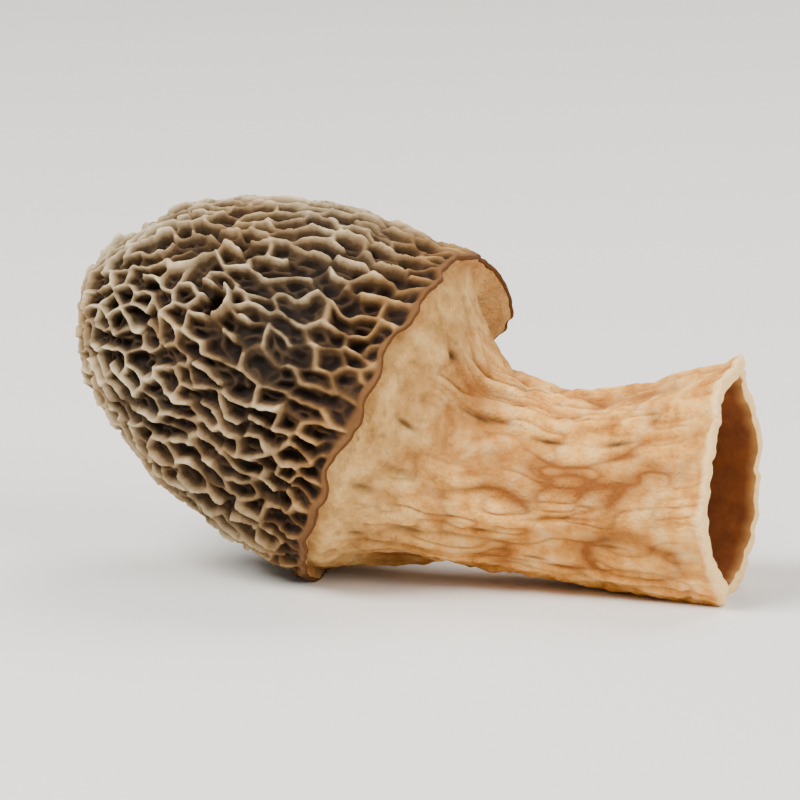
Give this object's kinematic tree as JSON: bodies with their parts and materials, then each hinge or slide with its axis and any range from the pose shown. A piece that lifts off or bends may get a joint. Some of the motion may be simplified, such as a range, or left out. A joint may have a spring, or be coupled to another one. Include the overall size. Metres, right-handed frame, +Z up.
{
  "type": "dried morel mushroom",
  "caption": "Dried morel lying on its side: a honeycombed, pitted cap grown onto a pale hollow stem that is cut open at its end.",
  "frame": {"origin": "middle of the underside of the bounding box, on the surface that the mushroom lies on", "axes": "+X along the mushroom from the tip of the cap towards the cut mouth of the stem, +Z up"},
  "size_m": [0.0274, 0.0138, 0.0149],
  "materials": {
    "dried_flesh": "matt, dry and leathery, dark brown pits under pale ridges, golden tan stem"
  },
  "bodies": {
    "root": {"dried_morel": "dried_flesh"}
  },
  "joints": []
}
